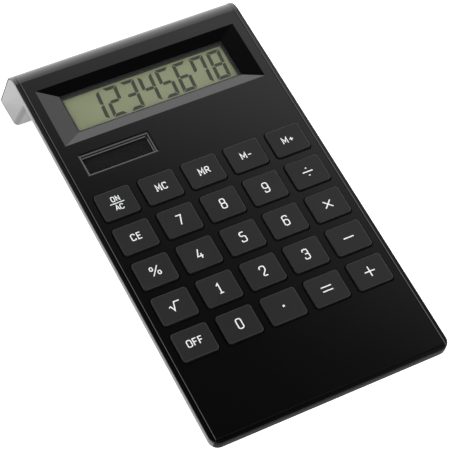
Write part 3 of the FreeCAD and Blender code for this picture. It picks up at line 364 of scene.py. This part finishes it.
# Generic digits and letters, drawn as centre lines in a box one unit high.
# Each glyph is (width, strokes), and each stroke is (points, corner radius, closed).
# The small "m" is a capital without feet, for the narrow legends.
GLYPHS = {
    "0": (0.48, [([(0, 0), (0.48, 0), (0.48, 1), (0, 1)], 0.20, True)]),
    "1": (0.34, [([(0.0, 0.80), (0.20, 1), (0.20, 0)], 0.0, False),
                 ([(0.02, 0), (0.38, 0)], 0.0, False)]),
    "2": (0.48, [([(0, 0.72), (0, 1), (0.48, 1), (0.48, 0.55), (0, 0), (0.50, 0)], 0.16, False)]),
    "3": (0.48, [([(0, 0.78), (0, 1), (0.47, 1), (0.47, 0.53), (0.14, 0.53)], 0.15, False),
                 ([(0.14, 0.53), (0.48, 0.53), (0.48, 0), (0, 0), (0, 0.22)], 0.17, False)]),
    "4": (0.54, [([(0.28, 1), (0.0, 0.26), (0.54, 0.26)], 0.0, False),
                 ([(0.38, 0.52), (0.38, 0)], 0.0, False)]),
    "5": (0.48, [(
        [(0.45, 1), (0.03, 1), (0.03, 0.58), (0.48, 0.58), (0.48, 0), (0, 0), (0, 0.2)], 0.15, False
    )]),
    "6": (0.48, [([(0, 0), (0.48, 0), (0.48, 0.58), (0, 0.58)], 0.18, True),
                 ([(0, 0.3), (0, 1), (0.46, 1), (0.46, 0.8)], 0.18, False)]),
    "7": (0.48, [([(0, 1), (0.49, 1), (0.17, 0)], 0.0, False)]),
    "8": (0.48, [([(0, 0), (0.48, 0), (0.48, 0.53), (0, 0.53)], 0.16, True),
                 ([(0.02, 0.53), (0.46, 0.53), (0.46, 1), (0.02, 1)], 0.15, True)]),
    "9": (0.48, [([(0, 0.42), (0.48, 0.42), (0.48, 1), (0, 1)], 0.18, True),
                 ([(0.02, 0.2), (0.02, 0), (0.48, 0), (0.48, 0.7)], 0.18, False)]),
    "M": (0.84, [([(0.1, 0), (0.1, 1), (0.42, 0.30), (0.74, 1), (0.74, 0)], 0.0, False),
                 ([(-0.03, 0), (0.23, 0)], 0.0, False), ([(0.61, 0), (0.87, 0)], 0.0, False)]),
    "m": (0.72, [([(0, 0), (0, 1), (0.36, 0.30), (0.72, 1), (0.72, 0)], 0.0, False)]),
    "C": (0.56, [([(0.56, 0.76), (0.56, 1), (0, 1), (0, 0), (0.56, 0), (0.56, 0.24)], 0.22, False)]),
    "R": (0.60, [([(0, 0), (0, 1), (0.54, 1), (0.54, 0.47), (0, 0.47)], 0.18, False),
                 ([(0.28, 0.47), (0.60, 0)], 0.0, False)]),
    "E": (0.50, [([(0.52, 1), (0, 1), (0, 0), (0.52, 0)], 0.0, False),
                 ([(0, 0.52), (0.46, 0.52)], 0.0, False)]),
    "O": (0.60, [([(0, 0), (0.60, 0), (0.60, 1), (0, 1)], 0.24, True)]),
    "F": (0.48, [([(0.50, 1), (0, 1), (0, 0)], 0.0, False), ([(0, 0.52), (0.44, 0.52)], 0.0, False)]),
    "N": (0.58, [([(0, 0), (0, 1), (0.58, 0), (0.58, 1)], 0.0, False)]),
    "A": (0.66, [([(0, 0), (0.33, 1), (0.66, 0)], 0.0, False),
                 ([(0.12, 0.33), (0.54, 0.33)], 0.0, False)]),
    "-": (0.52, [([(0.02, 0.45), (0.50, 0.45)], 0.0, False)]),
    "+": (0.62, [([(0.02, 0.45), (0.60, 0.45)], 0.0, False),
                 ([(0.31, 0.16), (0.31, 0.74)], 0.0, False)]),
}


def word(text, height, middle_y=0.0, gap=0.34, weight=0.45):
    """Strokes of a word centred on X; height is over the ink, weight is the stroke's width."""
    tall = height - weight
    widths = [GLYPHS[c][0] * tall for c in text]
    space = gap * tall
    x = -(sum(widths) + space * (len(text) - 1)) / 2
    strokes = []
    for c, wide in zip(text, widths):
        for points, radius, closed in GLYPHS[c][1]:
            placed = [(x + px * tall, middle_y - tall / 2 + py * tall) for px, py in points]
            strokes.append((placed, radius * tall, closed))
        x += wide + space
    return strokes


def ring(x, y, wide, tall):
    """Closed round stroke about a point; wide and tall are its half sizes."""
    corners = [(x - wide, y - tall), (x + wide, y - tall), (x + wide, y + tall), (x - wide, y + tall)]
    return (corners, min(wide, tall), True)


def bar(x0, y0, x1, y1):
    """Straight stroke between two points."""
    return ([(x0, y0), (x1, y1)], 0.0, False)


# Strokes and half width of each key's legend; LEGEND_WEIGHT thins or thickens them all.
LEGEND_WEIGHT = 0.92
LEGENDS = {
    "key_mc": (word("MC", 3.1, gap=0.26), 0.22), "key_mr": (word("MR", 3.1, gap=0.26), 0.22),
    "key_m_minus": (word("m-", 3.1), 0.23), "key_m_plus": (word("m+", 3.1), 0.23),
    "key_ce": (word("CE", 3.1, gap=0.36), 0.225), "key_off": (word("OFF", 3.2, gap=0.30), 0.225),
    "key_divide": ([bar(-2.1, 0, 2.1, 0), bar(-0.3, 1.7, 0.3, 1.7), bar(-0.3, -1.7, 0.3, -1.7)], 0.26),
    "key_multiply": ([bar(-1.55, -1.55, 1.55, 1.55), bar(-1.55, 1.55, 1.55, -1.55)], 0.25),
    "key_minus": ([bar(-2.15, 0, 2.15, 0)], 0.26),
    "key_plus": ([bar(-2.1, 0, 2.1, 0), bar(0, -2.15, 0, 2.15)], 0.26),
    "key_equals": ([bar(-2.1, 0.88, 2.1, 0.88), bar(-2.1, -0.88, 2.1, -0.88)], 0.25),
    "key_dot": ([bar(-0.42, 0, 0.42, 0)], 0.42),
    "key_percent": (
        [ring(-1.25, 1.1, 0.55, 0.75), ring(1.25, -1.1, 0.55, 0.75), bar(-1.45, -1.95, 1.45, 1.95)],
        0.22,
    ),
    "key_sqrt": (
        [([(-2.3, -0.1), (-1.6, 0.25), (-0.7, -1.75), (0.25, 1.7), (2.4, 1.7)], 0.0, False)],
        0.24,
    ),
}
for digit in "0123456789":
    LEGENDS["key_" + digit] = (word(digit, 4.6, weight=0.5), 0.25)
upper_word = word("ON", 2.45, middle_y=1.95, gap=0.34, weight=0.4)
lower_word = word("AC", 2.5, middle_y=-1.95, gap=0.22, weight=0.4)
LEGENDS["key_on_ac"] = (upper_word + lower_word + [bar(-2.85, 0, 2.85, 0)], 0.2)

KEY_GRID = (
    ("key_on_ac", "key_mc", "key_mr", "key_m_minus", "key_m_plus"),
    ("key_ce", "key_7", "key_8", "key_9", "key_divide"),
    ("key_percent", "key_4", "key_5", "key_6", "key_multiply"),
    ("key_sqrt", "key_1", "key_2", "key_3", "key_minus"),
    ("key_off", "key_0", "key_dot", "key_equals", "key_plus"),
)
for row, keys in enumerate(KEY_GRID):
    for column, key in enumerate(keys):
        strokes, half = LEGENDS[key]
        half *= LEGEND_WEIGHT
        x, y = (column - 2) * PITCH_X, (2 - row) * PITCH_Y
        placed = [
            ([(px + x, py + y) for px, py in points], radius, closed)
            for points, radius, closed in strokes
        ]
        mesh = ink_mesh("legend_" + key, placed, half, KEY_RISE - LEGEND_SINK)
        new_piece("legend_" + key, mesh, ink, key)


# ------------------------------------------------------------ display contents

# Bars of each digit: a on top, then b to f clockwise, and g across the middle.
SEGMENTS = {
    "1": "bc", "2": "abged", "3": "abgcd", "4": "fgbc",
    "5": "afgcd", "6": "afgecd", "7": "fabc", "8": "abcdefg",
}


def segment_shapes(wide, tall, thick, gap):
    """Outlines of the seven bars of one digit, about its middle."""
    w, h, t, g = wide / 2, tall / 2, thick, gap
    m = t / 2
    skew = g * 0.4
    end = g * 0.6
    side = g * 0.5
    return {
        "a": [(-w + g, h), (w - g, h), (w - t - skew, h - t), (-w + t + skew, h - t)],
        "d": [(-w + g, -h), (-w + t + skew, -h + t), (w - t - skew, -h + t), (w - g, -h)],
        "b": [(w, h - g), (w, end + 0.1), (w - m, end), (w - t, m + skew), (w - t, h - t - end)],
        "c": [(w, -h + g), (w - t, -h + t + end), (w - t, -m - skew), (w - m, -end), (w, -end - 0.1)],
        "f": [(-w, h - g), (-w + t, h - t - end), (-w + t, m + skew), (-w + m, end), (-w, end + 0.1)],
        "e": [
            (-w, -h + g), (-w, -end - 0.1), (-w + m, -end),
            (-w + t, -m - skew), (-w + t, -h + t + end),
        ],
        "g": [
            (-w + m + g, 0), (-w + t + side, m), (w - t - side, m),
            (w - m - g, 0), (w - t - side, -m), (-w + t + side, -m),
        ],
    }


def display_digits(text, shapes, last_x, middle_y, pitch, lean, level):
    """Mesh of a row of digits that ends at last_x and leans to the right."""
    bm = bmesh.new()
    for place, digit in enumerate(text):
        x = last_x - pitch * (len(text) - 1 - place)
        for letter in SEGMENTS[digit]:
            low = [
                bm.verts.new((x + px + lean * py, middle_y + py, level))
                for px, py in shapes[letter]
            ]
            high = [bm.verts.new((v.co.x, v.co.y, level + INK_THICK)) for v in low]
            bm.faces.new(low)
            bm.faces.new(high[::-1])
            for i in range(len(low)):
                k = (i + 1) % len(low)
                bm.faces.new((low[i], low[k], high[k], high[i]))
    bmesh.ops.recalc_face_normals(bm, faces=bm.faces)
    bm.transform(PLATE)
    mesh = bpy.data.meshes.new("display_digits")
    bm.to_mesh(mesh)
    bm.free()
    return mesh


digits = display_digits(
    "12345678", segment_shapes(wide=5.9, tall=14.0, thick=1.45, gap=0.26),
    last_x=29.5, middle_y=76.9, pitch=7.5, lean=0.0875, level=-2.895,
)
new_piece("display_digits", digits, segment_ink, "case")


# ------------------------------------------------------------ floor and lights

def make_floor():
    """Pale floor, lit a little from within so that it stays white."""
    bm = bmesh.new()
    bmesh.ops.create_grid(bm, x_segments=2, y_segments=2, size=6.0)
    mesh = bpy.data.meshes.new("floor")
    bm.to_mesh(mesh)
    bm.free()
    floor = bpy.data.objects.new("floor", mesh)
    bpy.context.scene.collection.objects.link(floor)
    s = Shader("pale_floor")
    soft = s.noise(3.0, 2.0)
    s.put(Base_Color=s.ramp(soft, ((0.2, (0.86, 0.86, 0.86)), (0.8, (0.9, 0.9, 0.9)))), Roughness=0.8)
    s.main.inputs["Emission Color"].default_value = (1.0, 1.0, 1.0, 1.0)
    s.main.inputs["Emission Strength"].default_value = 0.75
    floor.data.materials.append(s.mat)


def make_sky():
    """White studio surround that fades to a dim ceiling.

    The stops and the strength were set for the camera's angle below. From low down, the glossy
    plate mirrors the bright part and looks grey to white.
    """
    world = bpy.data.worlds.new("studio")
    bpy.context.scene.world = world
    world.use_nodes = True
    tree = world.node_tree
    where = tree.nodes.new("ShaderNodeTexCoord")
    split = tree.nodes.new("ShaderNodeSeparateXYZ")
    tree.links.new(where.outputs["Generated"], split.inputs["Vector"])
    ramp = tree.nodes.new("ShaderNodeValToRGB")
    ramp.color_ramp.interpolation = "B_SPLINE"
    stops = (
        (0.0, 1.0), (0.55, 1.0), (0.79, 0.60), (0.85, 0.31),
        (0.885, 0.055), (0.915, 0.010), (1.0, 0.008),
    )
    ends = ramp.color_ramp.elements
    while len(ends) < len(stops):
        ends.new(0.5)
    for end, (place, level) in zip(ends, stops):
        end.position = place
        end.color = (level, level, level, 1.0)
    tree.links.new(split.outputs["Z"], ramp.inputs["Fac"])
    background = tree.nodes["Background"]
    tree.links.new(ramp.outputs["Color"], background.inputs["Color"])
    background.inputs["Strength"].default_value = 2.6


make_floor()
make_sky()


# ---------------------------------------------------------------------- camera

# All in the plate frame: where the camera stands, and how it is turned from looking
# straight down on the plate. It rolls, then tips up, then swings round to one side.
CAMERA_SPOT = Vector((-225.88, -300.26, 586.98))
CAMERA_HEADING = math.radians(-35.905)
CAMERA_TILT = math.radians(32.9)
CAMERA_ROLL = math.radians(10.343)
CAMERA_LENS, CAMERA_SENSOR = 150.63, 36.0

aim = (
    Matrix.Rotation(CAMERA_HEADING, 3, "Z")
    @ Matrix.Rotation(CAMERA_TILT, 3, "X")
    @ Matrix.Rotation(CAMERA_ROLL, 3, "Z")
)
turn = PLATE.to_3x3().normalized()
camera = bpy.data.objects.new("camera", bpy.data.cameras.new("camera"))
bpy.context.scene.collection.objects.link(camera)
camera.matrix_world = Matrix.Translation(PLATE @ CAMERA_SPOT) @ (turn @ aim).to_4x4()
camera.data.sensor_width = CAMERA_SENSOR
camera.data.lens = CAMERA_LENS
camera.data.clip_start = 0.01
camera.data.clip_end = 50.0
bpy.context.scene.camera = camera
bpy.context.scene.view_settings.view_transform = "Standard"

bpy.context.view_layer.update()
